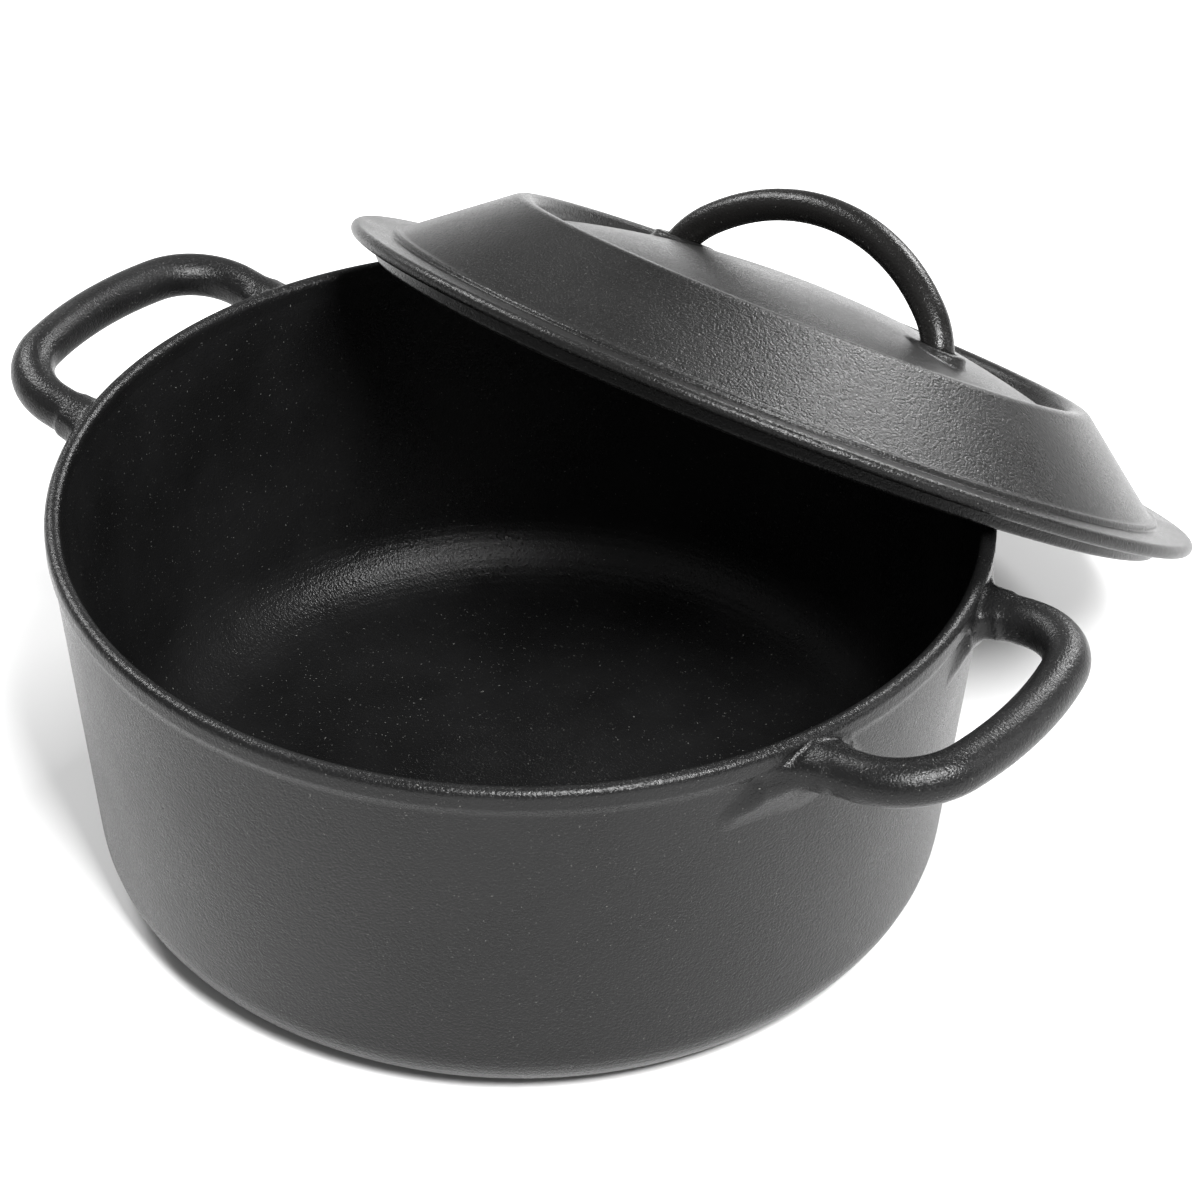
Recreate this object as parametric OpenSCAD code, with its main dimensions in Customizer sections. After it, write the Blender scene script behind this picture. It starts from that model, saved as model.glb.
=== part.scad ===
// Cast iron dutch oven: a round pot with two loop handles, and a domed lid with an arched handle.
// Millimetres, +Z up. The origin is the centre of the pot's flat base, on the surface it stands on.
// The loop handles lie along X. The lid leans off the back of the rim (+Y), resting on it at
// three places: twice under its locating lip and once under its dome.

/* [Pot] */
// Inner diameter at the mouth
mouth_d = 260; // [240:1:280]
// Height from the base to the top of the rim
pot_h = 118.5; // [105:0.5:130]
// Thickness of the wall
wall_t = 3.8; // [3:0.1:4.4]
// Thickness of the floor
floor_t = 5; // [4:0.5:8]
// Lean of the wall from upright, in degrees
draft = 4.5; // [2:0.5:7]
// Outer radius where the wall turns into the base
base_r = 18; // [10:1:24]
// Inner radius where the wall turns into the floor
cove_r = 24; // [12:1:30]

/* [Rim] */
// Width of the rounded rim
rim_w = 4.7; // [4.5:0.1:6]
// Height of the thicker band under the rim
rim_band_h = 6; // [4:0.5:9]
// Step from the band down to the wall, on the outside
rim_step = 1.2; // [0.4:0.1:2]

/* [Loop handles] */
// Diameter of the bar
bar_d = 13.2; // [11:0.2:15]
// Distance from the pot's axis to the bar's centre at its furthest point
bar_reach = 166.3; // [160:0.5:180]
// Half the distance between the two legs, centre to centre
leg_y = 42; // [36:0.5:48]
// Radius of the bar's centreline along the grip
grip_r = 115; // [90:1:160]
// Radius of the bar's centreline at the corners
corner_r = 22; // [16:0.5:28]
// Upward slope of the handle away from the pot, in degrees
handle_rise = 8; // [0:0.5:12]
// Radius of the fillet outside each leg, where the web meets the rim
web_out_r = 14; // [8:0.5:18]
// Radius of the fillet inside each leg
web_in_r = 5; // [3:0.5:8]
// Thickness of the web
web_t = 8.5; // [6:0.5:11]
// Thickness of the gusset under each leg
gusset_t = 7; // [4:0.5:10]
// Height of the gusset down the wall
gusset_h = 15; // [10:1:24]

/* [Lid] */
// Outer diameter of the flange
lid_d = 275.8; // [273:0.2:279]
// Thickness of the flange
flange_t = 4.2; // [3.6:0.2:5]
// Outer diameter of the locating lip, which drops into the mouth
lip_d = 256; // [252:0.5:257]
// Width of the locating lip
lip_w = 5; // [4:0.5:7]
// Depth of the lip below the middle of the flange
lip_depth = 6.6; // [5:0.2:9]
// Diameter of the small step inside the flange
step_d = 250.4; // [248:0.2:252]
// Height of the step above the middle of the flange
step_h = 3.9; // [3:0.1:5]
// Slope of the skirt, in degrees
skirt_slope = 37.6; // [34:0.2:40]
// Diameter of the crest, the raised ring at the top of the skirt
crest_d = 183.8; // [176:0.2:190]
// Radius of the crest's rounding
crest_r = 4.6; // [3:0.2:6]
// Height of the crest above the middle of the flange
crest_h = 26.5; // [25:0.1:28]
// Level of the moat inside the crest
moat_h = 21.3; // [20:0.1:23]
// Diameter of the dome
dome_d = 158; // [150:1:162]
// Height of the dome above the middle of the flange
dome_h = 32.3; // [30:0.1:34]
// Height of the dome at its edge
dome_edge_h = 22.6; // [22:0.1:25]
// Thickness of the lid
lid_t = 4; // [3.2:0.1:4.6]

/* [Lid handle] */
// Diameter of the rod
rod_d = 10; // [8:0.5:12]
// Height of the rod's centre at the top of the arch
arch_h = 54.6; // [50:0.2:62]
// Radius of the rod's centreline over the top of the arch
arch_r = 66; // [60:1:72]
// Radius of the rod's centreline at the sides
arch_side_r = 30; // [26:1:34]
// Half the span of the arch at its widest
arch_half = 53.5; // [50:0.5:57]
// Turn of the arch about the lid's axis, in degrees
arch_turn = -5.6; // [-90:0.2:90]
// Height of the raised bosses above the dome
boss_h = 2; // [1:0.5:4]
// Width of the bosses
boss_w = 15; // [13:0.5:18]
// Length of the bosses
boss_l = 20; // [18:0.5:26]

/* [Lid at rest] */
// Tilt of the leaning lid, in degrees
lean = 32.8; // [30:0.1:36]
// Direction in which the lid leans, in degrees from +X
lean_dir = 87.2; // [80:0.2:100]
// Middle of the leaning lid's flange, X
lid_x = 7; // [-10:0.1:10]
// Middle of the leaning lid's flange, Y
lid_y = 117.3; // [115:0.1:125]
// Middle of the leaning lid's flange, Z
lid_z = 97.7; // [95:0.1:115]

/* [Hidden] */
$fn = 180;
iron = [0.17, 0.17, 0.17];
iron_dark = [0.11, 0.11, 0.11];
far = 400;                                   // reaches past everything
eps = 0.5;                                   // overrun of cutters

mouth_r = mouth_d / 2;
rim_r = mouth_r + rim_w / 2;                 // middle of the rim
rim_out_r = mouth_r + rim_w;
neck_z = pot_h - rim_band_h - 2;             // where the band has blended into the wall
neck_out_r = rim_out_r - rim_step;

// Radius of the wall's outside and inside at height z
function wall_out(z) = neck_out_r - (neck_z - z) * tan(draft);
function wall_in(z) = wall_out(z) - wall_t / cos(draft);
// Centre of a fillet of radius r that touches both a level line at height z and the wall line
function out_fillet(r) = [wall_out(r) - r / cos(draft), r];
function in_fillet(r) = [wall_in(floor_t + r) - r / cos(draft), floor_t + r];
function on_wall(c, r) = c + r * [cos(draft), -sin(draft)];

// Plan of a loop handle's leg fillets: circles that touch the leg's edge and the rim's outside
bar_r = bar_d / 2;
function touching(y, r) = [sqrt(pow(rim_out_r + r, 2) - y * y), y];
web_out_c = touching(leg_y + bar_r + web_out_r, web_out_r);
web_in_c = touching(leg_y - bar_r - web_in_r, web_in_r);
// Where each of them touches the rim, across the leg
web_out_y = web_out_c.y * rim_out_r / (rim_out_r + web_out_r);
web_in_y = web_in_c.y * rim_out_r / (rim_out_r + web_in_r);

// Centres and angles of the bar's arcs
grip_c = bar_reach - grip_r;
corner_y = leg_y - corner_r;
corner_x = grip_c + sqrt(pow(grip_r - corner_r, 2) - corner_y * corner_y);
grip_angle = asin(corner_y / (grip_r - corner_r));
leg_x0 = mouth_r - 12;                       // legs start inside the wall and are cut back to it
leg_wall_x = sqrt(rim_out_r * rim_out_r - leg_y * leg_y) - 3;
handle_z = pot_h - 1 - bar_r;                // middle of the bar where it meets the wall

// Lid, in its own frame: Z along its axis from the middle of the flange
flange_c = lid_d / 2 - flange_t / 2;
crest_c = [crest_d / 2, crest_h - crest_r];
skirt_normal = [sin(skirt_slope), cos(skirt_slope)];
skirt_top = crest_c + crest_r * skirt_normal;
skirt_in = skirt_top - lid_t * skirt_normal;
function skirt_at(p, z) = p.x + (p.y - z) / tan(skirt_slope);
dome_sag = dome_h - dome_edge_h;
dome_r = (pow(dome_d / 2, 2) + dome_sag * dome_sag) / (2 * dome_sag);
function dome_at(r) = dome_h - dome_r + sqrt(dome_r * dome_r - r * r);
step_round = 1.2;

// Arch: one arc over the top and one down each side, tangent to each other
side_c = arch_half - arch_side_r;
arch_angle = asin(side_c / (arch_r - arch_side_r));
side_z = arch_h - arch_r + (arch_r - arch_side_r) * cos(arch_angle);
foot_angle = acos((dome_at(arch_half) + boss_h - side_z) / arch_side_r);
foot = [side_c + arch_side_r * sin(foot_angle), side_z + arch_side_r * cos(foot_angle)];
socket_deep = boss_h + lid_t * 0.6;          // the rod stops inside the lid's thickness
cast_grip = 0.05;                            // the iron has shrunk onto the rod's ends

// Half section of the pot's outside, down the middle
module pot_outside() {
    c = out_fillet(base_r);
    t = on_wall(c, base_r);
    polygon([[0, 0], [c.x, 0], [t.x, t.y], [neck_out_r, neck_z], [rim_out_r, pot_h - rim_band_h],
             [rim_out_r, pot_h - rim_w / 2], [0, pot_h - rim_w / 2]]);
    translate(c) circle(r = base_r);
    translate([rim_r, pot_h - rim_w / 2]) circle(d = rim_w);
}

// Half section of the cavity
module pot_inside() {
    c = in_fillet(cove_r);
    t = on_wall(c, cove_r);
    neck_in_z = pot_h - rim_band_h - 3;
    polygon([[0, floor_t], [c.x, floor_t], [t.x, t.y], [wall_in(neck_in_z), neck_in_z],
             [mouth_r, pot_h - rim_band_h], [mouth_r, far], [0, far]]);
    translate(c) circle(r = cove_r);
}

module pot_body() {
    color(iron) rotate_extrude() difference() {
        pot_outside();
        pot_inside();
    }
}

// A round bar swept along a level centreline, whose points each have x, y and the direction of the
// outer side of the bend there. The half centreline starts on the X axis; the other half mirrors it.
module swept_bar(half, r, sides = 32) {
    path = concat([for (i = [len(half) - 1:-1:1]) [half[i].x, -half[i].y, -half[i].z]], half);
    last = (len(path) - 1) * sides;
    points = [for (p = path, i = [0:sides - 1]) let (a = 360 * i / sides)
        [p.x + r * cos(a) * cos(p.z), p.y + r * cos(a) * sin(p.z), r * sin(a)]];
    walls = [for (k = [0:sides:last - 1], i = [0:sides - 1]) let (j = (i + 1) % sides, m = k + sides)
        each [[k + i, k + j, m + j], [k + i, m + j, m + i]]];
    ends = [[for (i = [sides - 1:-1:0]) i], [for (i = [0:sides - 1]) last + i]];
    polyhedron(points, concat(walls, ends));
}

// Half of a loop handle's centreline, from the middle of the grip round a corner to the wall
function grip_point(a) = [grip_c + grip_r * cos(a), grip_r * sin(a), a];
function corner_point(a) = [corner_x + corner_r * cos(a), corner_y + corner_r * sin(a), a];
half_bar = concat([for (i = [0:3]) grip_point(grip_angle * i / 4)],
                  [for (i = [0:8]) corner_point(grip_angle + (90 - grip_angle) * i / 8)],
                  [[leg_x0, leg_y, 90]]);

// Plan of the web beside one leg, with a concave fillet on each side of it
module web_plan() {
    difference() {
        polygon([[leg_x0, web_in_y], [web_in_c.x, web_in_y], [web_in_c.x, leg_y - bar_r],
                 [web_out_c.x, leg_y + bar_r], [web_out_c.x, web_out_y], [leg_x0, web_out_y]]);
        translate(web_in_c) circle(r = web_in_r);
        translate(web_out_c) circle(r = web_out_r);
    }
}

// Side view of the gusset under a leg: a block hollowed by one arc, from the wall to the leg
module gusset_side() {
    difference() {
        translate([leg_x0, -gusset_h - bar_r]) square([leg_wall_x + gusset_h - leg_x0, gusset_h + bar_r]);
        translate([leg_wall_x + gusset_h, -gusset_h - bar_r]) circle(r = gusset_h);
    }
}

// One loop handle on the +X side, cut back to the pot's outside so that the two meet face to face
module loop_handle() {
    difference() {
        translate([rim_out_r, 0, handle_z]) rotate([0, -handle_rise, 0]) translate([-rim_out_r, 0, 0]) {
            swept_bar(half_bar, bar_r);
            for (side = [0, 1]) mirror([0, side, 0]) {
                translate([0, 0, -web_t / 2]) linear_extrude(web_t) web_plan();
                translate([0, leg_y + gusset_t / 2, 0]) rotate([90, 0, 0])
                    linear_extrude(gusset_t) gusset_side();
            }
        }
        rotate_extrude() {
            pot_outside();
            translate([0, pot_h - rim_w]) square([rim_out_r, far]);
        }
    }
}

module left_loop_handle() {
    color(iron) rotate([0, 0, 180]) loop_handle();
}

module right_loop_handle() {
    color(iron) loop_handle();
}

// Half section of the lid's outside, filled in below
module lid_outside() {
    translate([0, -lip_depth]) square([lip_d / 2, lip_depth]);
    translate([0, -flange_t / 2]) square([flange_c, flange_t]);
    translate([flange_c, 0]) circle(d = flange_t);
    square([step_d / 2, step_h - step_round]);
    square([step_d / 2 - step_round, step_h]);
    translate([step_d / 2 - step_round, step_h - step_round]) circle(r = step_round);
    polygon([[0, 0], [skirt_at(skirt_top, 0), 0], [skirt_top.x, skirt_top.y], [crest_c.x, crest_c.y],
             [crest_c.x, moat_h], [0, moat_h]]);
    translate(crest_c) circle(r = crest_r);
    intersection() {
        translate([0, dome_h - dome_r]) circle(r = dome_r, $fn = 720);
        square([dome_d / 2, dome_h]);
    }
}

// Half section of the hollow under the lid
module lid_inside() {
    inner_r = lip_d / 2 - lip_w;
    under_moat = moat_h - lid_t;
    polygon([[0, -lip_depth - eps], [inner_r, -lip_depth - eps],
             [inner_r, skirt_in.y - (inner_r - skirt_in.x) * tan(skirt_slope)],
             [skirt_at(skirt_in, under_moat + 1.2), under_moat + 1.2], [crest_c.x - 2, under_moat + 1.2],
             [crest_c.x - crest_r, under_moat], [0, under_moat]]);
    intersection() {
        translate([0, dome_h - dome_r]) circle(r = dome_r - lid_t, $fn = 720);
        square([dome_d / 2 - 2, dome_h]);
    }
}

// A boss with round ends at each foot of the arch, reaching down into the lid's thickness
module bosses() {
    bottom = dome_at(foot.x + boss_l / 2) - lid_t / 2;
    top = dome_at(foot.x) + boss_h;
    for (side = [-1, 1]) translate([side * foot.x, 0, bottom]) linear_extrude(top - bottom) {
        for (end = [-1, 1]) translate([end * (boss_l - boss_w) / 2, 0]) circle(d = boss_w);
        square([boss_l - boss_w, boss_w], center = true);
    }
}

// Half of the arch's centreline, laid level: its X is the height, and its Y the distance out.
// It runs from the top down one side, and ends straight in the socket.
function top_point(a) = [arch_h - arch_r + arch_r * cos(a), arch_r * sin(a), a];
function side_point(a) = [side_z + arch_side_r * cos(a), side_c + arch_side_r * sin(a), a];
rod_end = [foot.y - socket_deep * sin(foot_angle), foot.x + socket_deep * cos(foot_angle), foot_angle];
half_arch = concat([for (i = [0:7]) top_point(arch_angle * i / 8)],
                   [for (i = [0:8]) side_point(arch_angle + (foot_angle - arch_angle) * i / 8)],
                   [rod_end]);

module arch_rod() {
    rotate(240, [1, 1, 1]) swept_bar(half_arch, rod_d / 2);
}

// A round socket for each end of the rod, in line with it
module sockets() {
    for (side = [0, 1]) mirror([side, 0, 0]) translate([foot.x, 0, foot.y]) rotate([0, 90 + foot_angle, 0])
        translate([0, 0, -socket_deep]) cylinder(d = rod_d - 2 * cast_grip, h = 2 * socket_deep);
}

// Places the lid's own frame in its leaning rest position
module lid_at_rest() {
    translate([lid_x, lid_y, lid_z]) rotate([0, 0, lean_dir]) rotate([0, lean, 0])
        rotate([0, 0, -lean_dir]) children();
}

module lid_cover() {
    color(iron) lid_at_rest() difference() {
        union() {
            rotate_extrude() difference() {
                lid_outside();
                lid_inside();
            }
            rotate([0, 0, arch_turn]) bosses();
        }
        rotate([0, 0, arch_turn]) sockets();
    }
}

module lid_handle() {
    color(iron_dark) lid_at_rest() rotate([0, 0, arch_turn]) arch_rod();
}

pot_body();
left_loop_handle();
right_loop_handle();
lid_cover();
lid_handle();
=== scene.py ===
"""Cast iron dutch oven: the looks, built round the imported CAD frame.

The pot and the lid are turned profiles. The two loop handles and the lid's two bosses are blended
solids, so that they flow into the casting as the real ones do. The rod is swept along its arch.
Lengths inside the builders are in millimetres; meshes are in metres.
"""
import math

import bpy
import numpy as np
from mathutils import Matrix, Vector


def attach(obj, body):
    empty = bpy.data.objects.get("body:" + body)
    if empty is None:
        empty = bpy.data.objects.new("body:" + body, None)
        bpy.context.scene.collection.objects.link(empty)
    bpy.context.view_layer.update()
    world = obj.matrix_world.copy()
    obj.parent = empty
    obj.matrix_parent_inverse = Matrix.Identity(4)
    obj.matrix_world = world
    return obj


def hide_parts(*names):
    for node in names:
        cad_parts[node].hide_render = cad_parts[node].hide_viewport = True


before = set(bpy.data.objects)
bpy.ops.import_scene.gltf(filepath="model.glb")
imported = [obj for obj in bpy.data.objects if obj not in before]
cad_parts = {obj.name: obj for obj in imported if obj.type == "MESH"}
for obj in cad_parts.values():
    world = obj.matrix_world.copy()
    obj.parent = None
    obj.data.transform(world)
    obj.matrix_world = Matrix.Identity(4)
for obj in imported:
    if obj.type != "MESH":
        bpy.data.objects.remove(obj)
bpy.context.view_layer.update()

MM = 0.001

# Pot, as in the CAD
MOUTH_R, POT_H, WALL_T, FLOOR_T, DRAFT = 130.0, 118.5, 3.8, 5.0, math.radians(4.5)
BASE_R, COVE_R, RIM_W, BAND_H, RIM_STEP = 18.0, 24.0, 4.7, 6.0, 1.2
RIM_R, RIM_OUT_R = MOUTH_R + RIM_W / 2, MOUTH_R + RIM_W
RIM_Z = POT_H - RIM_W / 2
NECK_Z, NECK_OUT_R = POT_H - BAND_H - 2, RIM_OUT_R - RIM_STEP

# Loop handles
BAR_R, REACH, LEG_Y, GRIP_R, CORNER_R = 6.6, 166.3, 42.0, 115.0, 22.0
RISE, WEB_OUT_R, WEB_IN_R, WEB_T = math.radians(8), 14.0, 5.0, 8.5
HANDLE_Z = POT_H - 1 - BAR_R

# Lid, along its own axis from the middle of the flange
LID_R, FLANGE_T, LIP_R, LIP_W, LIP_DEPTH = 137.9, 4.2, 128.0, 5.0, 6.6
STEP_R, STEP_H, SKIRT = 125.2, 3.9, math.radians(37.6)
CREST_R, CREST_ROUND, CREST_H, MOAT_H = 91.9, 4.6, 26.5, 21.3
DOME_EDGE_R, DOME_H, DOME_EDGE_H, LID_T = 79.0, 32.3, 22.6, 4.0
DOME_SAG = DOME_H - DOME_EDGE_H
DOME_R = (DOME_EDGE_R ** 2 + DOME_SAG ** 2) / (2 * DOME_SAG)

# Lid handle
ROD_R, ARCH_H, ARCH_R, ARCH_SIDE_R, ARCH_HALF = 5.0, 54.6, 66.0, 30.0, 53.5
ARCH_TURN, BOSS_H, BOSS_W, BOSS_L = math.radians(-5.6), 2.0, 15.0, 20.0

# The lid's resting place on the rim
LEAN, LEAN_DIR = math.radians(32.8), math.radians(87.2)
LID_AT = Vector((7.0, 117.3, 97.7)) * MM
LID_MATRIX = (Matrix.Translation(LID_AT) @ Matrix.Rotation(LEAN_DIR, 4, "Z")
              @ Matrix.Rotation(LEAN, 4, "Y") @ Matrix.Rotation(-LEAN_DIR, 4, "Z"))


# ---------------------------------------------------------------- meshes

def make_object(name, points, faces, matrix=None):
    """A smooth-shaded mesh object from points in millimetres."""
    mesh = bpy.data.meshes.new(name)
    mesh.from_pydata([tuple(float(c) * MM for c in p) for p in points], [], faces)
    if matrix is not None:
        mesh.transform(matrix)
    mesh.polygons.foreach_set("use_smooth", [True] * len(mesh.polygons))
    mesh.update()
    mesh.validate()
    obj = bpy.data.objects.new(name, mesh)
    bpy.context.scene.collection.objects.link(obj)
    return obj


def rounded(corners, arc_step=math.radians(7.5), support=0.5):
    """An open profile through corners (r, z, radius), each corner rounded to its radius.

    Every straight run also gets a point just inside each end, which keeps its shading flat."""
    pts = [np.array(c[:2], float) for c in corners]
    out = [pts[0]]
    for i in range(1, len(pts) - 1):
        p, a, b, radius = pts[i], pts[i - 1] - pts[i], pts[i + 1] - pts[i], corners[i][2]
        a, b = a / np.linalg.norm(a), b / np.linalg.norm(b)
        half = math.acos(max(-1.0, min(1.0, float(a @ b)))) / 2
        if radius <= 0 or half > math.radians(89.5):
            out.append(p)
            continue
        reach = radius / math.tan(half)
        start, end = p + a * reach, p + b * reach
        centre = p + (a + b) / np.linalg.norm(a + b) * radius / math.sin(half)
        turn = math.pi - 2 * half
        n = max(3, int(math.ceil(turn / arc_step)))
        for k in range(n + 1):
            t = k / n
            u, v = start - centre, end - centre
            w = (u * math.sin((1 - t) * turn) + v * math.sin(t * turn)) / math.sin(turn)
            out.append(centre + w)
    out.append(pts[-1])
    full = [out[0]]
    for p, q in zip(out, out[1:]):
        length = float(np.linalg.norm(q - p))
        if length > 4 * support:
            d = (q - p) / length * support
            middle = [p + (q - p) * k / 4 for k in (1, 2, 3)] if length > 12 else []
            full += [p + d] + middle + [q - d]
        if length > 1e-6:
            full.append(q)
    return full


def turned(name, profile, sides=256, matrix=None):
    """Turns a profile that starts and ends on the axis into a closed mesh."""
    rings = [p for p in profile if p[0] > 1e-6]
    points = [(0.0, 0.0, profile[0][1])]
    for r, z in rings:
        for k in range(sides):
            a = 2 * math.pi * k / sides
            points.append((r * math.cos(a), r * math.sin(a), z))
    points.append((0.0, 0.0, profile[-1][1]))
    last, n = len(points) - 1, len(rings)
    faces = []
    for k in range(sides):
        j = (k + 1) % sides
        faces.append((0, 1 + j, 1 + k))
        for i in range(n - 1):
            a, b = 1 + i * sides, 1 + (i + 1) * sides
            faces.append((a + k, a + j, b + j, b + k))
        a = 1 + (n - 1) * sides
        faces.append((a + k, a + j, last))
    return make_object(name, points, faces, matrix)


def smin(a, b, k):
    """Smooth minimum: joins two solids with a fillet about k wide."""
    h = np.maximum(k - np.abs(a - b), 0.0) / k
    return np.minimum(a, b) - h * h * k * 0.25


def smax(a, b, k):
    """Smooth maximum: cuts one solid by another with an edge rounded about k wide."""
    return -smin(-a, -b, k)


def surface_net(field, low, high, step):
    """Points and quads of the surface where field is zero, moved exactly onto it."""
    axes = [np.arange(lo, hi + step, step) for lo, hi in zip(low, high)]
    grid = np.meshgrid(*axes, indexing="ij")
    v = field(*grid)
    cells = tuple(s - 1 for s in v.shape)
    total, count = np.zeros(cells + (3,)), np.zeros(cells)
    crossings = []
    for axis in range(3):
        head = [slice(None)] * 3
        tail = [slice(None)] * 3
        head[axis], tail[axis] = slice(0, -1), slice(1, None)
        v0, v1 = v[tuple(head)], v[tuple(tail)]
        at = np.argwhere((v0 < 0) != (v1 < 0))
        a, b = v0[tuple(at.T)], v1[tuple(at.T)]
        place = at.astype(float)
        place[:, axis] += a / (a - b)
        others = [x for x in range(3) if x != axis]
        around = []
        for s, t in ((0, 0), (1, 0), (1, 1), (0, 1)):
            cell = at.copy()
            cell[:, others[0]] -= s
            cell[:, others[1]] -= t
            around.append(cell)
            np.add.at(total, tuple(cell.T), place)
            np.add.at(count, tuple(cell.T), 1)
        crossings.append((axis, a < 0, around))
    used = np.argwhere(count > 0)
    index = np.full(cells, -1, int)
    index[tuple(used.T)] = np.arange(len(used))
    pts = total[tuple(used.T)] / count[tuple(used.T)][:, None]
    pts = pts * step + np.array([a[0] for a in axes])
    faces = []
    for axis, inside, around in crossings:
        quad = np.stack([index[tuple(c.T)] for c in around], axis=1)
        flip = inside if axis == 1 else ~inside
        quad[flip] = quad[flip][:, ::-1]
        faces += [tuple(int(i) for i in q[::-1]) for q in quad]
    h = 0.02
    for _ in range(5):
        f = field(*pts.T)
        slope = np.stack([(field(*(pts + d).T) - field(*(pts - d).T)) / (2 * h)
                          for d in np.eye(3) * h], axis=1)
        size = np.maximum(np.sum(slope * slope, axis=1), 0.1)
        move = -(f / size)[:, None] * slope
        length = np.linalg.norm(move, axis=1)[:, None]
        pts = pts + move * np.minimum(1.0, 0.4 * step / np.maximum(length, 1e-9))
    return pts, faces


# ---------------------------------------------------------------- pot

def wall_out(z):
    """Radius of the wall's outside at height z."""
    return NECK_OUT_R - (NECK_Z - z) * math.tan(DRAFT)


def wall_in(z):
    """Radius of the wall's inside at height z."""
    return wall_out(z) - WALL_T / math.cos(DRAFT)


RIM_ROUND = RIM_W / 2 - 0.02                     # just under half the rim, so that its arcs meet
pot_profile = rounded([
    (0, 0, 0), (wall_out(0), 0, BASE_R), (NECK_OUT_R, NECK_Z, 5),
    (RIM_OUT_R, POT_H - BAND_H, 3), (RIM_OUT_R, POT_H, RIM_ROUND),
    (MOUTH_R, POT_H, RIM_ROUND), (MOUTH_R, POT_H - BAND_H, 4),
    (wall_in(NECK_Z - 1), NECK_Z - 1, 6), (wall_in(FLOOR_T), FLOOR_T, COVE_R), (0, FLOOR_T, 0)])
pot = turned("pot", pot_profile)


# ---------------------------------------------------------------- loop handles

def touching(y, r):
    """Centre of a circle of radius r at that y, which touches the rim's outside."""
    return math.sqrt((RIM_OUT_R + r) ** 2 - y * y), y


WEB_OUT_C = touching(LEG_Y + BAR_R + WEB_OUT_R, WEB_OUT_R)
WEB_IN_C = touching(LEG_Y - BAR_R - WEB_IN_R, WEB_IN_R)
WEB_OUT_Y = WEB_OUT_C[1] * RIM_OUT_R / (RIM_OUT_R + WEB_OUT_R)     # where each touches the rim
WEB_IN_Y = WEB_IN_C[1] * RIM_OUT_R / (RIM_OUT_R + WEB_IN_R)
GRIP_C, CORNER_Y = REACH - GRIP_R, LEG_Y - CORNER_R
CORNER_X = GRIP_C + math.sqrt((GRIP_R - CORNER_R) ** 2 - CORNER_Y ** 2)
GRIP_ANGLE = math.asin(CORNER_Y / (GRIP_R - CORNER_R))
SKIN, SEAT = 0.15, 2.2           # how far under the pot's surface a handle's skin and back lie
BLEND_LOW, BLEND_HIGH = 12.0, 1.6                # width of the fillet under a handle and over it


def pot_distance(x, y, z):
    """Distances outside the pot's outer surface, and outside its side carried straight up."""
    r = np.hypot(x, y)
    heights = [0.0, NECK_Z, POT_H - BAND_H, RIM_Z]
    side = r - np.interp(z, heights, [wall_out(0), NECK_OUT_R, RIM_OUT_R, RIM_OUT_R])
    rim = np.hypot(r - RIM_R, z - RIM_Z) - RIM_W / 2
    return np.where(z > RIM_Z, np.where(r > RIM_R, rim, z - POT_H), side), side


def loop_solid(x, y, z, wall):
    """Distance outside one loop handle: bar and webs. The webs stop at the wall."""
    dx, dz = x - RIM_OUT_R, z - HANDLE_Z
    u = dx * math.cos(RISE) + dz * math.sin(RISE) + RIM_OUT_R
    w = -dx * math.sin(RISE) + dz * math.cos(RISE)
    v = np.abs(y)
    in_grip = np.arctan2(v, u - GRIP_C) < GRIP_ANGLE
    corner = np.abs(np.hypot(u - CORNER_X, v - CORNER_Y) - CORNER_R)
    grip = np.abs(np.hypot(u - GRIP_C, v) - GRIP_R)
    plan = np.where(in_grip, grip, np.where(u < CORNER_X, np.abs(v - LEG_Y), corner))
    bar = np.hypot(plan, w) - BAR_R
    end = np.interp(v, [LEG_Y - BAR_R, LEG_Y + BAR_R], [WEB_IN_C[0], WEB_OUT_C[0]])
    web = np.maximum(u - end, np.maximum(WEB_IN_Y - v, v - WEB_OUT_Y))
    for (cx, cy), r in ((WEB_IN_C, WEB_IN_R), (WEB_OUT_C, WEB_OUT_R)):
        web = np.maximum(web, r - np.hypot(u - cx, v - cy))
    web = np.maximum(smax(web, np.abs(w) - WEB_T / 2, 3.0), -wall - 1)
    return smin(bar, web, 3.0)


def loop_field(x, y, z):
    """The handle flowing into the pot, sharply at the rim and broadly below it."""
    wall, side = pot_distance(x, y, z)
    handle = loop_solid(x, y, z, side)
    blend = np.interp(z, [HANDLE_Z - 10, HANDLE_Z + 2], [BLEND_LOW, BLEND_HIGH])
    both = smin(handle, wall + SKIN, blend)
    return np.maximum(np.maximum(both, handle - blend - 0.5), -(side + SEAT))


LOOP_LOW, LOOP_HIGH, LOOP_STEP = (92.0, -86.0, 66.0), (176.0, 86.0, 128.0), 1.0
pts, quads = surface_net(loop_field, LOOP_LOW, LOOP_HIGH, LOOP_STEP)
right_loop = make_object("right_loop_handle", pts, quads)
left_loop = make_object("left_loop_handle", pts * np.array([-1.0, -1.0, 1.0]), quads)


# ---------------------------------------------------------------- lid

def dome_at(r):
    """Height of the dome at radius r."""
    return DOME_H - DOME_R + np.sqrt(DOME_R ** 2 - np.minimum(r, DOME_EDGE_R) ** 2)


skirt_normal = np.array([math.sin(SKIRT), math.cos(SKIRT)])
crest_top = np.array([CREST_R, CREST_H - CREST_ROUND]) + CREST_ROUND * skirt_normal
crest_bottom = crest_top - LID_T * skirt_normal


def skirt_at(p, z):
    """Radius at height z on the line down the skirt from p."""
    return p[0] + (p[1] - z) / math.tan(SKIRT)


def dome_line(drop, radius, edge):
    """Profile corners along the dome's arc, or along the arc that lies drop under it."""
    return [(r, DOME_H - DOME_R + math.sqrt((DOME_R - drop) ** 2 - r * r), radius)
            for r in np.linspace(0, edge, 15)]


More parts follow.
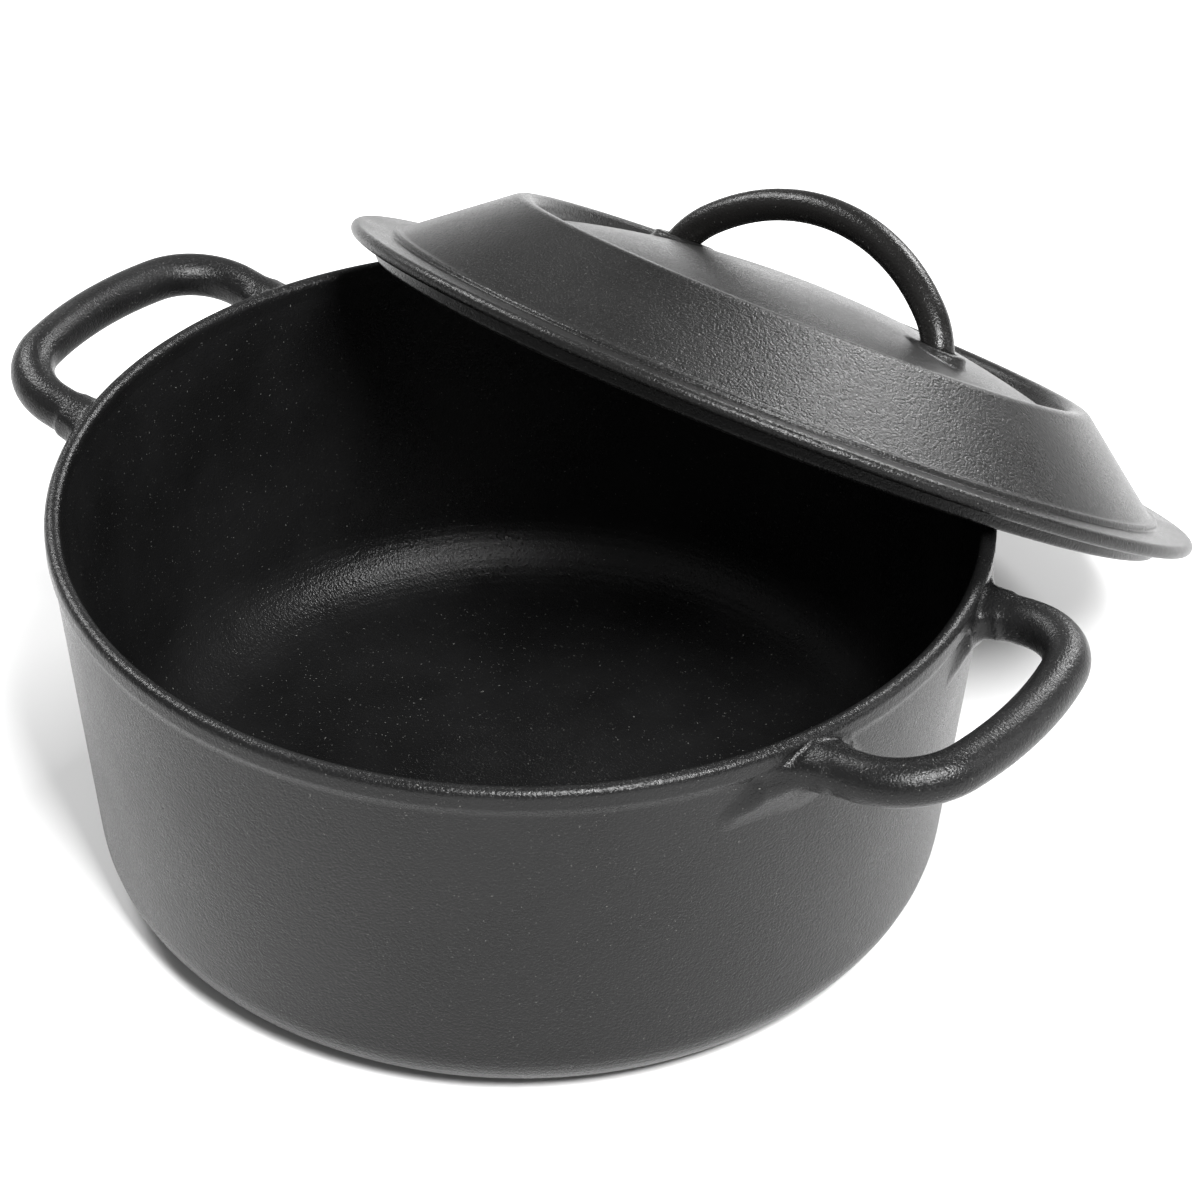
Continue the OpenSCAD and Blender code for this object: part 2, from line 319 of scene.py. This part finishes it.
crest_corner = (skirt_at(crest_top, CREST_H), CREST_H, CREST_ROUND)
crest_inner = CREST_R - CREST_ROUND
ROLL_ROUND = FLANGE_T / 2 - 0.02                 # just under half the flange, so that its arcs meet
top_side = dome_line(0, 60, DOME_EDGE_R)
top_side[-1] = (DOME_EDGE_R, DOME_EDGE_H, 0.9)
top_side += [(DOME_EDGE_R + 0.5, MOAT_H, 0.7), (crest_inner - 0.6, MOAT_H, 2.0),
             (crest_inner + 0.6, CREST_H, 3.4), crest_corner,
             (skirt_at(crest_top, STEP_H), STEP_H, 2.0), (STEP_R, STEP_H, 1.1),
             (STEP_R, FLANGE_T / 2, 0.8), (LID_R, FLANGE_T / 2, ROLL_ROUND),
             (LID_R, -FLANGE_T / 2, ROLL_ROUND), (LIP_R, -FLANGE_T / 2, 0.8),
             (LIP_R, -LIP_DEPTH, 1.2), (LIP_R - LIP_W, -LIP_DEPTH, 1.2)]
lip_inner = LIP_R - LIP_W
under_skirt_z = crest_bottom[1] - (lip_inner - crest_bottom[0]) * math.tan(SKIRT)
under_moat = MOAT_H - LID_T
under_side = [(lip_inner, under_skirt_z, 2.0),
              (skirt_at(crest_bottom, under_moat + 1.2), under_moat + 1.2, 3.0),
              (CREST_R - 2, under_moat + 1.2, 1.0), (CREST_R - CREST_ROUND, under_moat, 1.0)]
under_dome = [p for p in dome_line(LID_T, 60, DOME_EDGE_R - 2) if p[1] > under_moat + 0.2]
under_side += [(under_dome[-1][0] + 1.5, under_moat, 1.0)] + under_dome[::-1]
lid = turned("lid", rounded(top_side + under_side)[::-1], matrix=LID_MATRIX)

# Arch centreline, in the lid's own frame before its turn: X out and Z up
SIDE_C = ARCH_HALF - ARCH_SIDE_R
ARCH_ANGLE = math.asin(SIDE_C / (ARCH_R - ARCH_SIDE_R))
SIDE_Z = ARCH_H - ARCH_R + (ARCH_R - ARCH_SIDE_R) * math.cos(ARCH_ANGLE)
FOOT_ANGLE = math.acos((float(dome_at(ARCH_HALF)) + BOSS_H - SIDE_Z) / ARCH_SIDE_R)
FOOT = (SIDE_C + ARCH_SIDE_R * math.sin(FOOT_ANGLE), SIDE_Z + ARCH_SIDE_R * math.cos(FOOT_ANGLE))
LID_TURNED = LID_MATRIX @ Matrix.Rotation(ARCH_TURN, 4, "Z")
SEAM = 0.3                       # width of the dark seam round the rod where it enters a boss


def boss_field(x, y, z):
    """A raised boss at the +X foot of the arch, flowing into the dome, with the rod's hole in it."""
    r = np.hypot(x, y)
    dome = (z - dome_at(r)) * 0.97
    along = np.maximum(np.abs(x - FOOT[0]) - (BOSS_L - BOSS_W) / 2, 0.0)
    outline = np.hypot(along, y) - BOSS_W / 2
    boss = smax(outline, z - FOOT[1], 1.6)
    dx, dz = x - FOOT[0], z - FOOT[1]
    across = dx * math.sin(FOOT_ANGLE) + dz * math.cos(FOOT_ANGLE)
    hole = ROD_R + SEAM - np.hypot(across, y)
    both = smin(boss, dome + 0.12, 2.2)
    both = np.maximum(both, smax(both, hole, 0.8))
    return np.maximum(np.maximum(both, outline - 2.9), -(dome + 2.4))


boss_pts, boss_quads = surface_net(
    boss_field, (FOOT[0] - 16, -13.0, 18.0), (FOOT[0] + 16, 13.0, 32.0), 0.5)
bosses = [make_object("lid_boss_%d" % n, boss_pts * np.array([s, s, 1.0]), boss_quads, LID_TURNED)
          for n, s in ((1, 1.0), (2, -1.0))]


def arch_path():
    """Centres and outward directions along the whole arch, from one socket to the other."""
    half = [(ARCH_R * math.sin(a), ARCH_H - ARCH_R + ARCH_R * math.cos(a), a)
            for a in np.linspace(0, ARCH_ANGLE, 16)]
    half += [(SIDE_C + ARCH_SIDE_R * math.sin(a), SIDE_Z + ARCH_SIDE_R * math.cos(a), a)
             for a in np.linspace(ARCH_ANGLE, FOOT_ANGLE, 22)[1:]]
    deep = BOSS_H + 1.5
    half.append((FOOT[0] + deep * math.cos(FOOT_ANGLE), FOOT[1] - deep * math.sin(FOOT_ANGLE),
                 FOOT_ANGLE))
    return [(-x, z, -a) for x, z, a in half[:0:-1]] + half


def swept_rod(name, path, radius, sides=48, matrix=None):
    """A round rod along a path of centres and outward directions, with flat ends."""
    points, faces = [], []
    for x, z, a in path:
        for k in range(sides):
            t = 2 * math.pi * k / sides
            out = radius * math.cos(t)
            points.append((x + out * math.sin(a), radius * math.sin(t), z + out * math.cos(a)))
    for i in range(len(path) - 1):
        for k in range(sides):
            j = (k + 1) % sides
            a, b = i * sides, (i + 1) * sides
            faces.append((a + k, b + k, b + j, a + j))
    faces.append(tuple(range(sides)))
    faces.append(tuple((len(path) - 1) * sides + k for k in reversed(range(sides))))
    return make_object(name, points, faces, matrix)


rod = swept_rod("lid_rod", arch_path(), ROD_R, matrix=LID_TURNED)


# ---------------------------------------------------------------- materials

def cast_iron(name, dark, light, rough, bump, glint_paint, tint):
    """Seasoned cast iron: orange-peel grain, fine sand texture, cloudy sheen, and tiny bright specks
    painted into the colour as glints.
    """
    mat = bpy.data.materials.new(name)
    mat.use_nodes = True
    nodes, links = mat.node_tree.nodes, mat.node_tree.links
    nodes.clear()

    def node(kind, **values):
        n = nodes.new(kind)
        for key, value in values.items():
            if hasattr(n, key) and key not in n.inputs:
                setattr(n, key, value)
            else:
                n.inputs[key.replace("_", " ")].default_value = value
        return n

    def noise(scale, detail, roughness=0.5):
        n = node("ShaderNodeTexNoise", Scale=scale, Detail=detail, Roughness=roughness)
        links.new(coords.outputs["Object"], n.inputs["Vector"])
        return n.outputs["Fac"]

    def ramp(source, a, b, low, high):
        n = node("ShaderNodeMapRange", From_Min=a, From_Max=b, To_Min=low, To_Max=high)
        links.new(source, n.inputs["Value"])
        return n.outputs["Result"]

    coords = node("ShaderNodeTexCoord")
    cloud, grain, peel, sand = noise(22, 4, 0.6), noise(850, 2), noise(1400, 2, 0.6), noise(3000, 2)
    shader = node("ShaderNodeBsdfPrincipled", Metallic=0.0, IOR=1.5, Specular_IOR_Level=0.20)
    out = node("ShaderNodeOutputMaterial")
    links.new(shader.outputs["BSDF"], out.inputs["Surface"])

    base = node("ShaderNodeMix", data_type="RGBA")
    links.new(ramp(cloud, 0.3, 0.7, 0.0, 1.0), base.inputs["Factor"])
    base.inputs[6].default_value = (*[dark * c for c in tint], 1)
    base.inputs[7].default_value = (*[light * c for c in tint], 1)
    # Painted glints: sparse spots where the base colour is lifted towards a light grey, standing in for
    # light sparkling off the grain.
    painted_glints = node("ShaderNodeMix", data_type="RGBA")
    links.new(ramp(noise(1500, 1), 0.73, 0.80, 0.0, glint_paint), painted_glints.inputs["Factor"])
    links.new(base.outputs[2], painted_glints.inputs[6])
    painted_glints.inputs[7].default_value = (0.20, 0.20, 0.19, 1)
    links.new(painted_glints.outputs[2], shader.inputs["Base Color"])

    uneven = node("ShaderNodeMath", operation="ADD")
    links.new(ramp(cloud, 0.3, 0.7, rough - 0.05, rough + 0.05), uneven.inputs[0])
    links.new(ramp(peel, 0.3, 0.7, -0.06, 0.06), uneven.inputs[1])
    links.new(uneven.outputs[0], shader.inputs["Roughness"])

    normal = None
    for height, depth, strength in ((grain, 0.00020, 0.5 * bump), (peel, 0.00024, 0.8 * bump),
                                    (sand, 0.00006, 0.6 * bump)):
        b = node("ShaderNodeBump", Strength=min(1.0, strength), Distance=depth)
        links.new(height, b.inputs["Height"])
        if normal is not None:
            links.new(normal, b.inputs["Normal"])
        normal = b.outputs["Normal"]
    links.new(normal, shader.inputs["Normal"])
    return mat


# The second-last number in each call sets how strongly the painted glints show.
pot_iron = cast_iron("pot_iron", 0.003, 0.006, 0.31, 1.1, 0.5, (1.0, 1.0, 1.02))
lid_iron = cast_iron("lid_iron", 0.0035, 0.006, 0.31, 1.1, 0.4, (1.0, 0.99, 0.98))
rod_iron = cast_iron("rod_iron", 0.003, 0.005, 0.27, 0.8, 0.4, (1.0, 0.96, 0.92))

for obj, mat, body, slot in (
        (pot, pot_iron, "pot", "pot_iron"), (left_loop, pot_iron, "pot", "pot_iron"),
        (right_loop, pot_iron, "pot", "pot_iron"), (lid, lid_iron, "lid", "lid_iron"),
        (bosses[0], lid_iron, "lid", "lid_iron"), (bosses[1], lid_iron, "lid", "lid_iron"),
        (rod, rod_iron, "lid", "rod_iron")):
    obj.data.materials.append(mat)
    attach(obj, body)

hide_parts("pot_body")
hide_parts("left_loop_handle")
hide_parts("right_loop_handle")
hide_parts("lid_cover")
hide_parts("lid_handle")


# ---------------------------------------------------------------- stage, lights and camera

def plain(name, colour, rough):
    """An even, unpatterned material for the stage."""
    mat = bpy.data.materials.new(name)
    mat.use_nodes = True
    shader = mat.node_tree.nodes["Principled BSDF"]
    shader.inputs["Base Color"].default_value = (*colour, 1)
    shader.inputs["Roughness"].default_value = rough
    return mat


floor_mesh = bpy.data.meshes.new("floor")
SPREAD = 20.0
floor_mesh.from_pydata([(-SPREAD, -SPREAD, 0), (SPREAD, -SPREAD, 0), (SPREAD, SPREAD, 0),
                        (-SPREAD, SPREAD, 0)], [], [(0, 1, 2, 3)])
floor = bpy.data.objects.new("floor", floor_mesh)
floor.location.z = -0.0005
floor_mesh.materials.append(plain("floor_pale", (0.60, 0.60, 0.60), 0.8))
bpy.context.scene.collection.objects.link(floor)

world = bpy.data.worlds.new("studio")
world.use_nodes = True
world.node_tree.nodes["Background"].inputs["Color"].default_value = (1.0, 1.0, 1.0, 1)
world.node_tree.nodes["Background"].inputs["Strength"].default_value = 0.42
bpy.context.scene.world = world
bpy.context.scene.view_settings.view_transform = "Standard"

RIGHT = Vector((0.8090, 0.5878, 0.0))            # the camera's right, level
BACK = Vector((-0.5878, 0.8090, 0.0))            # away from the camera, level
UP = Vector((0.0, 0.0, 1.0))


def area_light(name, right, back, up, size, power, aim=(0, 0, 0.08)):
    """A soft square light, placed by its distance right of, behind and above the object."""
    data = bpy.data.lights.new(name, "AREA")
    data.shape, data.size, data.energy = "SQUARE", size, power
    lamp = bpy.data.objects.new(name, data)
    lamp.location = RIGHT * right + BACK * back + UP * up
    lamp.rotation_euler = (Vector(aim) - lamp.location).to_track_quat("-Z", "Y").to_euler()
    bpy.context.scene.collection.objects.link(lamp)


area_light("front", 0.45, -0.95, 1.45, 0.5, 92)
area_light("back_right", 0.9, 1.2, 1.0, 0.5, 30)
area_light("back_left", -0.9, 0.9, 1.2, 0.45, 26)
area_light("right", 1.5, -0.2, 0.6, 0.5, 6)

camera_data = bpy.data.cameras.new("camera")
camera_data.lens, camera_data.sensor_width = 105.0, 36.0
camera = bpy.data.objects.new("camera", camera_data)
CAMERA_AT = (0.4984, -0.6473, 0.6857)
FORWARD = Vector((-0.4722, 0.6499, -0.5956))
ROLL = 0.018
camera_up = RIGHT.cross(FORWARD)
rolled_right = RIGHT * math.cos(ROLL) + camera_up * math.sin(ROLL)
rolled_up = camera_up * math.cos(ROLL) - RIGHT * math.sin(ROLL)
camera.matrix_world = Matrix.Translation(CAMERA_AT) @ Matrix(
    (rolled_right, rolled_up, -FORWARD)).transposed().to_4x4()
bpy.context.scene.collection.objects.link(camera)
bpy.context.scene.camera = camera
